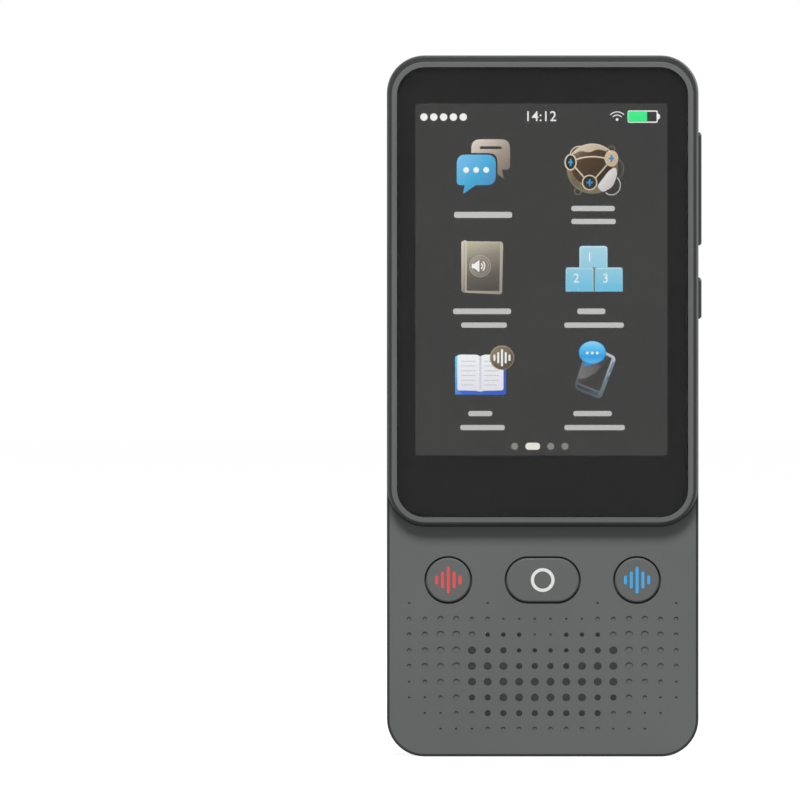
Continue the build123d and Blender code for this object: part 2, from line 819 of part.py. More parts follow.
def charge_board_screws():
    tip_y = charge_board_y - corner_boss_depth + corner_screw_floor
    places = [side * corner_boss_x for side in (-1, 1)]
    head_y = charge_board_y + charge_board_thickness
    heads = [pin(x, corner_boss_z, screw_head_radius, head_y, cover_inner_y - fit) for x in places]
    shanks = [pin(x, corner_boss_z, boss_hole_radius - fit, tip_y, head_y) for x in places]
    return Compound([head + shank for head, shank in zip(heads, shanks)])


def shield(x_low, x_high, z_low, z_high, front_y, back_y, open_at_rear):
    can = plate(span(x_low, x_high, z_low, z_high), front_y, back_y)
    room = span(x_low + shield_wall, x_high - shield_wall, z_low + shield_wall, z_high - shield_wall)
    if open_at_rear:
        return can - plate(room, front_y + shield_wall, back_y + 1)
    return can - plate(room, front_y - 1, back_y - shield_wall)


def processor_shield():
    low = board_low + shield_low
    return shield(*front_shield_x, low, low + front_shield_height, board_y - shield_height, board_y, True)


def radio_shield():
    low = board_low + shield_low
    rear = board_rear_y + shield_height
    return shield(*rear_shield_x, low, low + rear_shield_height, board_rear_y, rear, False)


def main_chips():
    """Processor, memory and power chip under the front shield."""
    middle_z = board_low + chips_rise
    return Compound([plate(Pos(x, middle_z) * Rectangle(size, size), board_y - height, board_y)
                     for x, size, height in chips])


def board_connectors():
    """Sockets for the display, battery and lower board's flexible circuits."""
    half = board_flex_width / 2
    front_z = board_low + front_connector_rise
    rear_z = board_low + rear_connector_rise
    lower_z = charge_board_low + lower_connector_rise
    front = block(-flex_width / 2, flex_width / 2, board_y - connector_height, board_y,
                  front_z, front_z + connector_depth)
    rear = [block(x - half, x + half, board_rear_y, board_rear_y + connector_height,
                  rear_z, rear_z + connector_depth) for x in (board_flex_x, lead_x)]
    lower = block(board_flex_x - half, board_flex_x + half, charge_board_y - connector_height, charge_board_y,
                  lower_z, lower_z + connector_depth)
    return Compound([front, lower] + rear)


def board_flex():
    """Flexible circuit over the battery from the lower board to the main board."""
    run_y = battery_rear_y + 2 * flex_thickness
    lower_y = charge_board_y - connector_height - flex_thickness / 2
    upper_y = board_rear_y + connector_height + flex_thickness / 2
    lower_z = charge_board_low + lower_connector_rise
    upper_z = board_low + rear_connector_rise + connector_depth
    points = [(lower_y, lower_z), (lower_y, module_bottom - 4), (run_y, module_bottom - 1),
              (run_y, board_low - 1.5), (upper_y, board_low + 1), (upper_y, upper_z)]
    return ribbon(points, board_flex_width, board_flex_x)


def key_flex():
    """Flexible circuit from the key board to the lower board."""
    top_y = key_board_y + key_board_thickness + flex_thickness / 2
    low_z = charge_board_low + charge_board_height
    end_y = charge_board_y - flex_thickness / 2
    bottom = key_z - key_board_height / 2
    points = [(top_y, bottom + 2), (top_y, bottom - 1.2), (end_y, low_z + 0.2), (end_y, low_z - 3)]
    return ribbon(points, board_flex_width, -board_flex_x)


def battery():
    cell = block(-inner_x + board_wall_gap, board_right, battery_y, battery_rear_y,
                 module_bottom + battery_gap, board_low - battery_gap)
    return fillet(cell.edges().filter_by(Axis.Z), battery_round)


def battery_lead():
    start_y = battery_rear_y - battery_thickness / 4
    end_y = board_rear_y + connector_height + flex_thickness / 2
    points = [(start_y, board_low - battery_gap), (start_y, board_low), (end_y, board_low + 1.2),
              (end_y, board_low + rear_connector_rise + connector_depth)]
    return ribbon(points, lead_width, lead_x)


def camera_module():
    half = camera_base / 2
    base = block(camera_x - half, camera_x + half, board_rear_y, board_rear_y + camera_base_height,
                 camera_z - half, camera_z + half)
    barrel = pin(camera_x, camera_z, camera_barrel_radius, board_rear_y, barrel_top_y)
    floor_y = barrel_top_y - camera_barrel_hollow
    return base + barrel - pin(camera_x, camera_z, camera_barrel_radius / 2, floor_y, barrel_top_y)


def camera_gasket():
    ring = Circle(camera_barrel_radius) - Circle(camera_barrel_radius - camera_gasket_width)
    return plate(Pos(camera_x, camera_z) * ring, barrel_top_y, cover_inner_y)


def camera_window():
    window_y = rear_y - camera_window_recess - camera_window_thickness
    window = pin(camera_x, camera_z, camera_window_radius, window_y, window_y + camera_window_thickness)
    return chamfer(rear_edges(window), camera_window_edge)


def flash_led():
    half = flash_led_size / 2
    return block(flash_x - half, flash_x + half, board_rear_y, board_rear_y + flash_led_height,
                 camera_z - half, camera_z + half)


def flash_lens():
    """Light guide from the lamp to a round lens in the rear cover, with a collar that seats inside."""
    lens = pin(flash_x, camera_z, flash_lens_radius, cover_inner_y, rear_y - camera_window_recess)
    collar_y = cover_inner_y - flash_collar
    collar = pin(flash_x, camera_z, flash_lens_radius + flash_collar, collar_y, cover_inner_y)
    pipe_y = board_rear_y + flash_led_height + fit
    return lens + collar + pin(flash_x, camera_z, flash_pipe_radius, pipe_y, cover_inner_y)


def upper_microphone():
    half = microphone_width / 2
    top = inner_top - board_wall_gap
    x = upper_microphone_x
    return block(x - half, x + half, board_rear_y, board_rear_y + microphone_thickness,
                 top - microphone_length, top)


def vibration_motor():
    return pin(motor_x, key_z, motor_radius, cover_inner_y - motor_thickness, cover_inner_y)


def wifi_antenna():
    top = inner_top - lip_thickness - board_wall_gap
    low_x = -inner_x + antenna_in_x
    outline = span(low_x, low_x + wifi_antenna_width, top - wifi_antenna_height, top)
    return plate(outline, cover_inner_y - antenna_thickness, cover_inner_y)


def main_antenna():
    low = charge_board_low + charge_board_height + antenna_gap
    high_x = motor_x - motor_radius - antenna_gap
    outline = span(-inner_x + antenna_in_x, high_x, low, low + main_antenna_height)
    return plate(outline, cover_inner_y - antenna_thickness, cover_inner_y)


nodes = {
    "main_housing": main_housing(),
    "rear_cover": rear_cover(),
    "screen_bezel": screen_bezel(),
    "front_panel": front_panel(),
    "cover_glass": cover_glass(),
    "glass_tape": glass_tape(),
    "touch_sensor": touch_sensor(),
    "lcd_panel": lcd_panel(),
    "backlight": backlight(),
    "display_flex": display_flex(),
    "red_key": front_key("red_key"),
    "home_key": front_key("home_key"),
    "blue_key": front_key("blue_key"),
    "key_board": key_board(),
    "key_domes": key_domes(),
    "key_board_screws": key_board_screws(),
    "key_flex": key_flex(),
    "speaker_mesh": speaker_mesh(),
    "speaker_gasket": speaker_gasket(),
    "speaker": speaker(),
    "speaker_chamber": speaker_chamber(),
    "charge_board": charge_board(),
    "charge_board_screws": charge_board_screws(),
    "usb_shell": usb_shell(),
    "usb_tongue": usb_tongue(),
    "usb_gasket": usb_gasket(),
    "lower_microphone": lower_microphone(),
    "board_flex": board_flex(),
    "volume_key": volume_key(),
    "power_key": power_key(),
    "side_key_board": side_key_board(),
    "side_key_bracket": side_key_bracket(),
    "side_switches": side_switches(),
    "sim_tray": sim_tray(),
    "sim_card": sim_card(),
    "sim_reader": sim_reader(),
    "main_board": main_board(),
    "main_board_screws": main_board_screws(),
    "main_chips": main_chips(),
    "processor_shield": processor_shield(),
    "radio_shield": radio_shield(),
    "board_connectors": board_connectors(),
    "battery": battery(),
    "battery_lead": battery_lead(),
    "camera_module": camera_module(),
    "camera_gasket": camera_gasket(),
    "camera_window": camera_window(),
    "flash_led": flash_led(),
    "flash_lens": flash_lens(),
    "upper_microphone": upper_microphone(),
    "vibration_motor": vibration_motor(),
    "wifi_antenna": wifi_antenna(),
    "main_antenna": main_antenna(),
}

os.makedirs("parts", exist_ok=True)
for name, shape in nodes.items():
    export_step(shape, f"parts/{name}.step")
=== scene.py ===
import json
import math

import bmesh
import bpy
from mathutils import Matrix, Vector


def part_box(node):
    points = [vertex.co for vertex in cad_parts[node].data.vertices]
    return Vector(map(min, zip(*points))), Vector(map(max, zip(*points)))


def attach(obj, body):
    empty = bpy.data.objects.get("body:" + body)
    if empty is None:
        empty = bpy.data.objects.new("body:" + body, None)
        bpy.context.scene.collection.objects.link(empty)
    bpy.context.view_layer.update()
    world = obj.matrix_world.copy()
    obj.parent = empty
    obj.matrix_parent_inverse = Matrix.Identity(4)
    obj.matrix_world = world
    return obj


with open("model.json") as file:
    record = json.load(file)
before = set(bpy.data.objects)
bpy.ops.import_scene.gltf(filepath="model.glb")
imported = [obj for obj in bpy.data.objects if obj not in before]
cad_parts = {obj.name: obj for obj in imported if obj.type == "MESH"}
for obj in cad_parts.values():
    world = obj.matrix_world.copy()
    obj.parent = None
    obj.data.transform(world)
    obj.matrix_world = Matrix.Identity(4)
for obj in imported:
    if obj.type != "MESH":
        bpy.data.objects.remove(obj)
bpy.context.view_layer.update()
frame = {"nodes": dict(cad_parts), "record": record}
nodes = frame["nodes"]
bpy.context.scene.view_settings.view_transform = "Standard"

MM = 0.001
POINT = MM / 5.203           # one point of the screen's layout
LAYOUT_START = (0.6, 0.8)    # where the lit area's upper left corner lies in the layout
LCD_SIDE = 1.3 * MM          # dead edge of the display beside its lit area,
LCD_LOW = 4.3 * MM           # below it
LCD_HIGH = 1.5 * MM          # and above it
LAYER = 0.012 * MM           # spacing of the screen's drawn layers
DRAWN = LAYER * 0.7          # thickness of a shape drawn on the screen
PRINT = 0.02 * MM            # thickness of a sign printed on a key
DIGIT_SIZE = 0.7             # height of the built-in face's digits, at a size of 1
WHITE = (1, 1, 1, 1)
GROUND = (62, 62, 61)        # the lit display behind its signs

# Staging, in metres
LENS_MM = 200
SENSOR_MM = 36
CAMERA_SPOT = (0.008, -0.8618, 0.0675)
CAMERA_SHIFT = (-0.2303, 0.0075)     # sets the device right of the middle, as in the photograph
CAMERA_REACH = 20
ROOM_LIGHT = 0.28            # what the world gives to surfaces
FLOOR_HALF = 8.0
FLOOR_GRAY = 0.28
FLOOR_GLOW = 0.915           # added to the light that it reflects, so that it looks as white as the world
CARD_GLOW = 0.10
CARD_WALL = -1.0             # where the card stands, behind the camera
CARD_END = -0.35             # where its strip along the floor ends
CARD_HALF = 0.34
CARD_END_HALF = 0.15
CARD_FOOT = 0.0005
CARD_TOP = 0.42
LAMPS = (                    # name, place, aim, width, height, watts
    ("key", (-0.04, -0.72, 0.93), (0, -0.008, 0.05), 0.45, 0.34, 11.5),
    ("rear_fill", (0.8, 0.75, 0.7), (0, 0, 0.07), 0.7, 0.7, 10.0),
)

# Finishes
CLOUDS = 45                  # scale of the broad cloudiness
GRAIN_DEPTH = 0.03 * MM
WEAVE_DEPTH = 0.05 * MM
ROUGHNESS_SPREAD = 0.06


def linear(rgb):
    """An sRGB colour of 0 to 255 as linear light, with alpha."""
    out = []
    for c in rgb:
        c = c / 255
        out.append(c / 12.92 if c <= 0.04045 else ((c + 0.055) / 1.055) ** 2.4)
    return (*out, 1.0)


def add_object(name, data):
    obj = bpy.data.objects.new(name, data)
    bpy.context.scene.collection.objects.link(obj)
    return obj


def bare_material(name):
    """A material with nothing but its output."""
    material = bpy.data.materials.new(name)
    material.use_nodes = True
    tree = material.node_tree
    tree.nodes.clear()
    return material, tree, tree.nodes.new("ShaderNodeOutputMaterial")


def math_node(tree, operation, *sources):
    """A Math node's output, from numbers and other outputs."""
    node = tree.nodes.new("ShaderNodeMath")
    node.operation = operation
    for socket, source in zip(node.inputs, sources):
        if isinstance(source, float):
            socket.default_value = source
        else:
            tree.links.new(source, socket)
    return node.outputs[0]


# ---- Camera, light and floor ----
def make_camera():
    data = bpy.data.cameras.new("camera")
    data.lens = LENS_MM
    data.sensor_width = SENSOR_MM
    data.shift_x, data.shift_y = CAMERA_SHIFT
    data.clip_end = CAMERA_REACH
    camera = add_object("camera", data)
    camera.location = CAMERA_SPOT
    camera.rotation_euler = (math.radians(90), 0, 0)
    bpy.context.scene.camera = camera


def area_light(name, location, target, width, height, power):
    data = bpy.data.lights.new(name, "AREA")
    data.shape = "RECTANGLE"
    data.size = width
    data.size_y = height
    data.energy = power
    light = add_object(name, data)
    light.location = location
    light.rotation_euler = (Vector(target) - light.location).to_track_quat("-Z", "Y").to_euler()
    light.visible_transmission = False      # no bright spots from rays through the panes


def seen_by_eye(tree):
    """1 for camera, glossy and transmission rays."""
    path = tree.nodes.new("ShaderNodeLightPath")
    direct = math_node(tree, "MAXIMUM", path.outputs["Is Camera Ray"], path.outputs["Is Glossy Ray"])
    return math_node(tree, "MAXIMUM", direct, path.outputs["Is Transmission Ray"])


def make_world():
    """White to the eye and in reflections, and dimmer as a light."""
    world = bpy.data.worlds.new("studio")
    bpy.context.scene.world = world
    world.use_nodes = True
    tree = world.node_tree
    tree.nodes.clear()
    out = tree.nodes.new("ShaderNodeOutputWorld")
    mix = tree.nodes.new("ShaderNodeMixShader")
    for side, strength in ((1, ROOM_LIGHT), (2, 1.0)):
        room = tree.nodes.new("ShaderNodeBackground")
        room.inputs["Color"].default_value = WHITE
        room.inputs["Strength"].default_value = strength
        tree.links.new(room.outputs[0], mix.inputs[side])
    tree.links.new(seen_by_eye(tree), mix.inputs["Fac"])
    tree.links.new(mix.outputs[0], out.inputs["Surface"])


def make_floor():
    mesh = bpy.data.meshes.new("floor")
    h = FLOOR_HALF
    mesh.from_pydata([(-h, -h, 0), (h, -h, 0), (h, h, 0), (-h, h, 0)], [], [(0, 1, 2, 3)])
    floor = add_object("floor", mesh)
    material, tree, out = bare_material("floor_paper")
    add = tree.nodes.new("ShaderNodeAddShader")
    paper = tree.nodes.new("ShaderNodeBsdfDiffuse")
    paper.inputs["Color"].default_value = (FLOOR_GRAY, FLOOR_GRAY, FLOOR_GRAY, 1)
    glow = tree.nodes.new("ShaderNodeEmission")
    strength = math_node(tree, "MULTIPLY", seen_by_eye(tree), FLOOR_GLOW)
    tree.links.new(strength, glow.inputs["Strength"])
    tree.links.new(paper.outputs[0], add.inputs[0])
    tree.links.new(glow.outputs[0], add.inputs[1])
    tree.links.new(add.outputs[0], out.inputs["Surface"])
    mesh.materials.append(material)


def make_dark_card():
    """A dark card behind the camera and along the floor below it, seen only in reflections."""
    mesh = bpy.data.meshes.new("dark_card")
    corners = [(-CARD_HALF, CARD_WALL, CARD_FOOT), (CARD_HALF, CARD_WALL, CARD_FOOT),
               (CARD_HALF, CARD_WALL, CARD_TOP), (-CARD_HALF, CARD_WALL, CARD_TOP),
               (CARD_END_HALF, CARD_END, CARD_FOOT), (-CARD_END_HALF, CARD_END, CARD_FOOT)]
    mesh.from_pydata(corners, [], [(0, 1, 2, 3), (0, 5, 4, 1)])
    card = add_object("dark_card", mesh)
    material, tree, out = bare_material("black_card")
    glow = tree.nodes.new("ShaderNodeEmission")
    glow.inputs["Color"].default_value = WHITE
    glow.inputs["Strength"].default_value = CARD_GLOW
    tree.links.new(glow.outputs[0], out.inputs["Surface"])
    mesh.materials.append(material)
    card.visible_camera = False
    card.visible_diffuse = False
    card.visible_shadow = False


make_camera()
make_world()
make_floor()
make_dark_card()
for lamp in LAMPS:
    area_light(*lamp)


# ---- Materials ----
def new_material(name):
    """A material with a Principled shader."""
    material, tree, out = bare_material(name)
    shader = tree.nodes.new("ShaderNodeBsdfPrincipled")
    tree.links.new(shader.outputs[0], out.inputs["Surface"])
    return material, tree, shader


def noise(tree, scale, detail=2.0, stretch=(1, 1, 1)):
    place = tree.nodes.new("ShaderNodeTexCoord")
    mapping = tree.nodes.new("ShaderNodeMapping")
    mapping.inputs["Scale"].default_value = stretch
    node = tree.nodes.new("ShaderNodeTexNoise")
    node.inputs["Scale"].default_value = scale
    node.inputs["Detail"].default_value = detail
    tree.links.new(place.outputs["Object"], mapping.inputs["Vector"])
    tree.links.new(mapping.outputs[0], node.inputs["Vector"])
    return node.outputs[0]


def ranged(tree, source, low, high, from_low=0.3, from_high=0.7):
    node = tree.nodes.new("ShaderNodeMapRange")
    node.inputs["From Min"].default_value = from_low
    node.inputs["From Max"].default_value = from_high
    node.inputs["To Min"].default_value = low
    node.inputs["To Max"].default_value = high
    tree.links.new(source, node.inputs["Value"])
    return node.outputs["Result"]


def ramp(tree, source, stops):
    """Colours that run through stops of (place, colour)."""
    node = tree.nodes.new("ShaderNodeValToRGB")
    elements = node.color_ramp.elements
    while len(elements) < len(stops):
        elements.new(0.5)
    for element, (place, colour) in zip(elements, stops):
        element.position = place
        element.color = colour
    tree.links.new(source, node.inputs["Fac"])
    return node.outputs["Color"]


def shaded(colour, factor):
    """The colour, lighter or darker by a factor."""
    return (*[c * factor for c in colour[:3]], 1.0)


def add_bumps(tree, shader, height, strength, depth):
    bumps = tree.nodes.new("ShaderNodeBump")
    bumps.inputs["Strength"].default_value = strength
    bumps.inputs["Distance"].default_value = depth
    tree.links.new(height, bumps.inputs["Height"])
    tree.links.new(bumps.outputs[0], shader.inputs["Normal"])


def moulded(name, rgb, roughness=0.5, spread=0.07, grain=2600, bump=0.12, metallic=0.0, specular=0.5,
            stretch=(1, 1, 1)):
    """A finish whose colour, roughness and surface vary with a fine grain and a broad cloudiness."""
    material, tree, shader = new_material(name)
    colour = linear(rgb)
    fine = noise(tree, grain, 3.0, stretch)
    broad = noise(tree, CLOUDS, 3.0)
    blend = math_node(tree, "MULTIPLY_ADD", fine, 0.5, math_node(tree, "MULTIPLY", broad, 0.5))
    tint = ramp(tree, blend, [(0.35, shaded(colour, 1 - spread)), (0.65, shaded(colour, 1 + spread))])
    tree.links.new(tint, shader.inputs["Base Color"])
    tree.links.new(ranged(tree, broad, roughness - ROUGHNESS_SPREAD, roughness + ROUGHNESS_SPREAD),
                   shader.inputs["Roughness"])
    shader.inputs["Metallic"].default_value = metallic
    shader.inputs["Specular IOR Level"].default_value = specular
    add_bumps(tree, shader, fine, bump, GRAIN_DEPTH)
    return material


def glass(name, tint, ior, roughness):
    """Clear glass, a little smeared."""
    material, tree, shader = new_material(name)
    smear = noise(tree, 60, 4.0)
    tree.links.new(ramp(tree, smear, [(0.3, linear(tint)), (0.7, WHITE)]), shader.inputs["Base Color"])
    tree.links.new(ranged(tree, smear, roughness * 0.95, roughness * 1.05), shader.inputs["Roughness"])
    shader.inputs["Transmission Weight"].default_value = 1.0
    shader.inputs["IOR"].default_value = ior
    return material


def woven(name, rgb, pitch, glow=0.0):
    """A fine square weave of threads. glow is painted light: the cloth glows a little though it is no lamp,
    which lightens the grille's holes.
    """
    material, tree, shader = new_material(name)
    colour = linear(rgb)
    place = tree.nodes.new("ShaderNodeTexCoord")
    waves = []
    for direction in ("X", "Z"):
        wave = tree.nodes.new("ShaderNodeTexWave")
        wave.bands_direction = direction
        wave.inputs["Scale"].default_value = 0.5 / pitch
        tree.links.new(place.outputs["Object"], wave.inputs["Vector"])
        waves.append(wave.outputs["Fac"])
    both = math_node(tree, "MULTIPLY", *waves)
    tree.links.new(ramp(tree, both, [(0.0, shaded(colour, 1.25)), (1.0, shaded(colour, 0.55))]),
                   shader.inputs["Base Color"])
    shader.inputs["Roughness"].default_value = 0.8
    shader.inputs["Emission Color"].default_value = WHITE
    shader.inputs["Emission Strength"].default_value = glow
    add_bumps(tree, shader, both, 0.5, WEAVE_DEPTH)
    return material


def circuit(name, rgb, copper):
    """Solder resist over a lattice of tracks and pads."""
    material, tree, shader = new_material(name)
    colour = linear(rgb)
    place = tree.nodes.new("ShaderNodeTexCoord")
    cells = tree.nodes.new("ShaderNodeTexVoronoi")
    cells.distance = "CHEBYCHEV"
    cells.inputs["Scale"].default_value = 420
    tree.links.new(place.outputs["Object"], cells.inputs["Vector"])
    tracks = ramp(tree, cells.outputs["Distance"], [(0.08, linear(copper)), (0.14, shaded(colour, 1.0)),
                                                    (0.5, shaded(colour, 1.0)), (0.56, shaded(colour, 1.7))])
    tree.links.new(tracks, shader.inputs["Base Color"])
    tree.links.new(ranged(tree, cells.outputs["Distance"], 0.25, 0.45), shader.inputs["Roughness"])
    add_bumps(tree, shader, cells.outputs["Distance"], 0.2, WEAVE_DEPTH)
    return material


# clear_glass is coated against glare: its IOR is low, and its roughness softens what it reflects
# and hardly blurs the display, which lies close behind it.
materials = {
    "housing_plastic": moulded("housing_plastic", (54, 56, 55), 0.62, grain=3200, bump=0.16, specular=0.25),
    "cover_plastic": moulded("cover_plastic", (47, 49, 48), 0.7, spread=0.09, grain=2300, bump=0.3,
                             specular=0.25),
    "panel_plastic": moulded("panel_plastic", (104, 106, 105), 0.5, spread=0.04, grain=3600, bump=0.08,
                             specular=0.3),
    "bezel_paint": moulded("bezel_paint", (102, 104, 103), 0.45, spread=0.03, grain=3600, bump=0.05,
                           specular=0.3),
    "key_paint": moulded("key_paint", (104, 106, 105), 0.46, spread=0.04, grain=3600, bump=0.06,
                         specular=0.3),
    "side_key_paint": moulded("side_key_paint", (60, 62, 62), 0.45, spread=0.05, grain=3200, bump=0.08),
    "clear_glass": glass("clear_glass", (250, 251, 252), 1.25, 0.3),
    "black_film": moulded("black_film", (30, 30, 31), 0.35, spread=0.05, grain=2000, bump=0.03, specular=0.2),
    "black_plastic": moulded("black_plastic", (24, 24, 25), 0.5, spread=0.12, bump=0.15),
    "steel": moulded("steel", (190, 190, 188), 0.32, metallic=1.0, stretch=(1, 1, 14), grain=1500, bump=0.2),
    "circuit_board": circuit("circuit_board", (18, 62, 40), (150, 120, 60)),
    "polyimide": moulded("polyimide", (150, 92, 30), 0.35, spread=0.18, grain=900, bump=0.1),
    "foam": moulded("foam", (30, 30, 31), 0.9, spread=0.35, grain=4200, bump=0.9),
    # mesh_cloth glows at 0.022: painted light that lightens the grille's holes in front of it
    "mesh_cloth": woven("mesh_cloth", (150, 150, 148), 0.00012, 0.022),
    "battery_wrap": moulded("battery_wrap", (196, 198, 200), 0.3, metallic=0.6, spread=0.05, grain=700,
                            bump=0.3),
    "chip": moulded("chip", (28, 28, 30), 0.55, spread=0.25, grain=5200, bump=0.25),
    "white_plastic": moulded("white_plastic", (220, 220, 215), 0.45, spread=0.03, bump=0.1),
    "lens_glass": glass("lens_glass", (206, 208, 214), 1.45, 0.01),
}
own_finish = {"screen_bezel": "bezel_paint", "red_key": "key_paint", "home_key": "key_paint",
              "blue_key": "key_paint", "volume_key": "side_key_paint", "power_key": "side_key_paint",
              "rear_cover": "cover_plastic"}


def display_ground():
    """The lit display: a gray ground, a little uneven."""
    material, tree, shader = new_material("display_ground")
    cloud = noise(tree, 28, 2.0)
    tint = ramp(tree, cloud, [(0.3, linear((61, 61, 60))), (0.7, linear(GROUND))])
    shader.inputs["Base Color"].default_value = (0.002, 0.002, 0.002, 1)
    tree.links.new(tint, shader.inputs["Emission Color"])
    tree.links.new(ranged(tree, cloud, 0.5, 0.6), shader.inputs["Roughness"])
    shader.inputs["Emission Strength"].default_value = 1.0
    shader.inputs["Specular IOR Level"].default_value = 0.0
    return material


materials["display"] = display_ground()
for pane in ("camera_window", "flash_lens"):
    nodes[pane].visible_shadow = False      # lets light reach the camera and the flash
for part in frame["record"]["subparts"]:
    node = part["node"]
    mesh = nodes[node].data
    material = materials[own_finish.get(node, part["material_slot"])]
    if not mesh.materials:
        mesh.materials.append(material)
    for i in range(len(mesh.materials)):
        mesh.materials[i] = material


# ---- Flat drawn shapes, as outlines in points ----
def oval(u, v, half_width, half_height=None, start=0.0, end=360.0, steps=44):
    """A closed oval, or the open arc of it between two angles."""
    half_height = half_width if half_height is None else half_height
    closed = end - start >= 360
    count = steps if closed else max(4, int(steps * (end - start) / 360)) + 1
    span = (end - start) / (count if closed else count - 1)
    angles = [math.radians(start + span * i) for i in range(count)]
    return [(u + half_width * math.cos(a), v + half_height * math.sin(a)) for a in angles]


def rounded(points, radius, steps=5):
    """The outline with each corner rounded. radius may be a list, one for each corner."""
    out = []
    count = len(points)
    radii = radius if isinstance(radius, list) else [radius] * count
    for i, r in enumerate(radii):
        corner = Vector(points[i])
        before = Vector(points[i - 1]) - corner
        after = Vector(points[(i + 1) % count]) - corner
        if r <= 0:
            out.append(tuple(corner))
            continue
        reach = min(r, before.length * 0.49, after.length * 0.49)      # leaves the next corner its half
        a = corner + before.normalized() * reach
        b = corner + after.normalized() * reach
        for k in range(steps + 1):
            t = k / steps
            out.append(tuple(a * (1 - t) ** 2 + corner * 2 * t * (1 - t) + b * t ** 2))
    return out


def panel(u0, v0, u1, v1, radius=0.0, steps=5):
    return rounded([(u0, v0), (u1, v0), (u1, v1), (u0, v1)], radius, steps)


def stroke(points, width):
    """The outline of a line of this width along open points."""
    left, right = [], []
    for i, p in enumerate(points):
        here = Vector(p)
        back = (here - Vector(points[i - 1])).normalized() if i else None
        on = (Vector(points[i + 1]) - here).normalized() if i + 1 < len(points) else None
        along = (back + on).normalized() if back and on else (back or on)
        side = Vector((-along.y, along.x))
        size = width / 2
        if back and on:
            size /= max(0.35, along.dot(on))      # a mitre, cut short at sharp corners
        left.append(tuple(here + side * size))
        right.append(tuple(here - side * size))
    return left + right[::-1]


def ring(u, v, half_width, half_height, width, steps=48):
    """An oval band: its outer and its inner outline."""
    half = width / 2
    return (oval(u, v, half_width + half, half_height + half, steps=steps),
            oval(u, v, half_width - half, half_height - half, steps=steps))


def arc(u, v, half_width, half_height, width, start, end):
    return stroke(oval(u, v, half_width, half_height, start, end, 48), width)


lcd_low, lcd_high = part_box("lcd_panel")
lit_left = lcd_low.x + LCD_SIDE
lit_right = lcd_high.x - LCD_SIDE
lit_top = lcd_high.z - LCD_HIGH
lit_low = lcd_low.z + LCD_LOW
lcd_face = lcd_low.y


def on_screen(u, v):
    """A point of the screen's layout as x and z. u runs right and v runs down."""
    return lit_left + (u - LAYOUT_START[0]) * POINT, lit_top - (v - LAYOUT_START[1]) * POINT


def about(low, high, shift=0.0):
    """A layout in millimetres round the middle of a box."""
    x, z = (low.x + high.x) / 2 + shift, (low.z + high.z) / 2
    return lambda u, v: (x + u * MM, z + v * MM)


def band(builder, outer, inner, place, front, back, index):
    """A thin closed plate between two outlines with as many points each."""
    loops = [[builder.verts.new((x, y, z)) for x, z in (place(u, v) for u, v in outline)]
             for outline, y in ((outer, front), (inner, front), (inner, back), (outer, back))]
    count = len(outer)
    for k in range(4):
        a, b = loops[k], loops[(k + 1) % 4]
        for i in range(count):
            j = (i + 1) % count
            face = builder.faces.new((a[i], a[j], b[j], b[i]))
            face.material_index = index


def slab(builder, outline, place, front, back, index):
    """A thin closed plate of this outline, between two depths."""
    if isinstance(outline, tuple):
        band(builder, *outline, place, front, back, index)
        return
    spots = [place(u, v) for u, v in outline]
    area = sum(a[0] * b[1] - b[0] * a[1] for a, b in zip(spots, spots[1:] + spots[:1]))
    if area < 0:
        spots.reverse()
    near = [builder.verts.new((x, front, z)) for x, z in spots]
    far = [builder.verts.new((x, back, z)) for x, z in spots]
    faces = [builder.faces.new(near), builder.faces.new(far[::-1])]
    count = len(spots)
    for i in range(count):
        j = (i + 1) % count
        faces.append(builder.faces.new((near[j], near[i], far[i], far[j])))
    for face in faces:
        face.material_index = index


def finished(builder, name, finishes):
    """The builder's shape as an object with these materials."""
    mesh = bpy.data.meshes.new(name)
    builder.to_mesh(mesh)
    builder.free()
    for material in finishes:
        mesh.materials.append(material)
    return add_object(name, mesh)


def drawing(name, shapes, body="device", place=on_screen, face=lcd_face, thickness=DRAWN):
    """One piece of flat shapes: each is (outline, layer, material)."""
    builder = bmesh.new()
    finishes = []
    for outline, layer, material in shapes:
        if material not in finishes:
            finishes.append(material)
        back = face - layer * LAYER
        slab(builder, outline, place, back - thickness, back, finishes.index(material))
    bmesh.ops.recalc_face_normals(builder, faces=builder.faces)
    bmesh.ops.triangulate(builder, faces=[f for f in builder.faces if len(f.verts) > 4])
    piece = finished(builder, name, finishes)
    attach(piece, body)


def lit(name, stops, start, end):
    """A glowing finish whose colour runs through stops between two points of the layout."""
    material, tree, shader = new_material(name)
    x0, z0 = on_screen(*start)
    x1, z1 = on_screen(*end)
    way = Vector((x1 - x0, 0, z1 - z0))
    texture = tree.nodes.new("ShaderNodeTexCoord")
    shift = tree.nodes.new("ShaderNodeVectorMath")
    shift.operation = "SUBTRACT"
    shift.inputs[1].default_value = (x0, 0, z0)
    dot = tree.nodes.new("ShaderNodeVectorMath")
    dot.operation = "DOT_PRODUCT"
    dot.inputs[1].default_value = way / way.length_squared
    tree.links.new(texture.outputs["Object"], shift.inputs[0])
    tree.links.new(shift.outputs[0], dot.inputs[0])
    last = len(stops) - 1
    colours = [(i / last, linear(rgb)) for i, rgb in enumerate(stops)]
    tree.links.new(ramp(tree, dot.outputs["Value"], colours), shader.inputs["Emission Color"])
    shader.inputs["Emission Strength"].default_value = 1.0
    shader.inputs["Base Color"].default_value = (0, 0, 0, 1)
    shader.inputs["Specular IOR Level"].default_value = 0.0
    shader.inputs["Roughness"].default_value = 0.6
    return material


